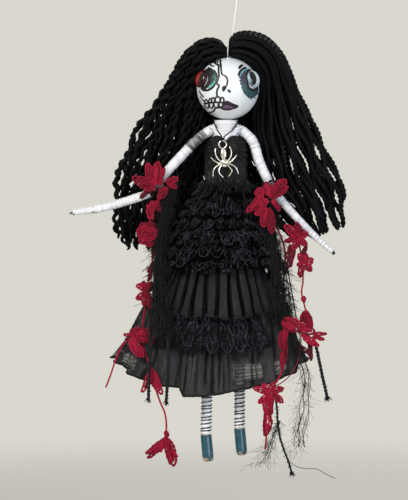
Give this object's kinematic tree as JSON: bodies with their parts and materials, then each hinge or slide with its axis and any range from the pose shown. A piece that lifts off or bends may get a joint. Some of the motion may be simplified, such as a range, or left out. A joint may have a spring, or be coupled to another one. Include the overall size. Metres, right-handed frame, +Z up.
{
  "type": "hanging art doll",
  "caption": "Hanging art doll with a painted ball head, long black yarn hair, thread-wound limbs, a tiered black lace dress, a spider pendant and red yarn flowers.",
  "frame": {"origin": "where the hanging loop bears on its hook", "axes": "+Z up along the hanging thread, -Y towards the viewer of the doll's face, +X to that viewer's right"},
  "size_m": [0.1775, 0.0531, 0.3321],
  "materials": {
    "black_yarn": "matt wool yarn, twisted and crimped",
    "white_thread": "fine cotton thread wound in close turns",
    "white_paint": "white gloss paint on a hard ball, with a painted face",
    "red_glass": "domed red cabochon with a dark slit",
    "pale_glass": "domed pale cabochon with a dark slit",
    "black_thread": "waxed black thread",
    "teal_paint": "teal gloss paint, a little worn at the tips",
    "silver_alloy": "antique silver plate on a small casting",
    "black_lace": "gathered black lace",
    "pleated_satin": "knife-pleated black cloth with a stitched hem",
    "organza": "sheer black organza in pleats, with a rolled hem",
    "red_yarn": "soft crimson yarn",
    "grey_thread": "a single fine grey thread"
  },
  "bodies": {
    "doll": {"hanging_loop": "white_thread", "hanging_thread": "white_thread", "head_ball": "white_paint", "red_eye": "red_glass", "white_eye": "pale_glass", "hair_gather_left": "black_yarn", "hair_gather_right": "black_yarn", "hair_back": "black_yarn", "hair_rope_left_1": "black_yarn", "hair_rope_left_2": "black_yarn", "hair_rope_left_3": "black_yarn", "hair_rope_left_4": "black_yarn", "hair_rope_left_5": "black_yarn", "hair_rope_left_6": "black_yarn", "hair_rope_right_1": "black_yarn", "hair_rope_right_2": "black_yarn", "hair_rope_right_3": "black_yarn", "hair_rope_right_4": "black_yarn", "hair_rope_right_5": "black_yarn", "hair_rope_right_6": "black_yarn", "hair_rope_right_7": "black_yarn", "torso_wrap": "white_thread", "left_arm_wrap": "white_thread", "right_arm_wrap": "white_thread", "left_elbow_binding": "black_thread", "right_elbow_binding": "black_thread", "left_leg_wrap": "white_thread", "left_leg_thread": "black_thread", "left_boot": "teal_paint", "right_leg_wrap": "white_thread", "right_leg_thread": "black_thread", "right_boot": "teal_paint", "bodice": "black_lace", "upper_lace_tier": "black_lace", "skirt_lining": "black_lace", "pleated_tier": "pleated_satin", "organza_tier": "organza", "lower_lace_tier": "black_lace", "necklace_cord": "black_thread", "left_elbow_flower": "red_yarn", "left_rosette": "red_yarn", "left_loop_flower": "red_yarn", "left_skirt_flower": "red_yarn", "left_leaf_pair": "red_yarn", "left_tassel": "red_yarn", "right_elbow_flower": "red_yarn", "right_upper_flower": "red_yarn", "right_side_flower": "red_yarn", "right_skirt_flower": "red_yarn", "right_hem_flower": "red_yarn", "left_garland_cord": "red_yarn", "left_tail_cord": "red_yarn", "right_garland_cord": "red_yarn", "right_side_cord": "red_yarn", "left_black_strand": "black_yarn", "left_inner_strand": "black_yarn", "right_black_strand": "black_yarn", "long_black_strand": "black_yarn", "wavy_grey_thread": "grey_thread"},
    "charm": {"spider_charm": "silver_alloy"}
  },
  "joints": [
    {"name": "charm_swing", "type": "hinge", "parent": "doll", "child": "charm", "pos_m": [-0.0112, -0.013, -0.11596], "axis": [-1, 0, 0], "range_deg": [0, 60]}
  ]
}
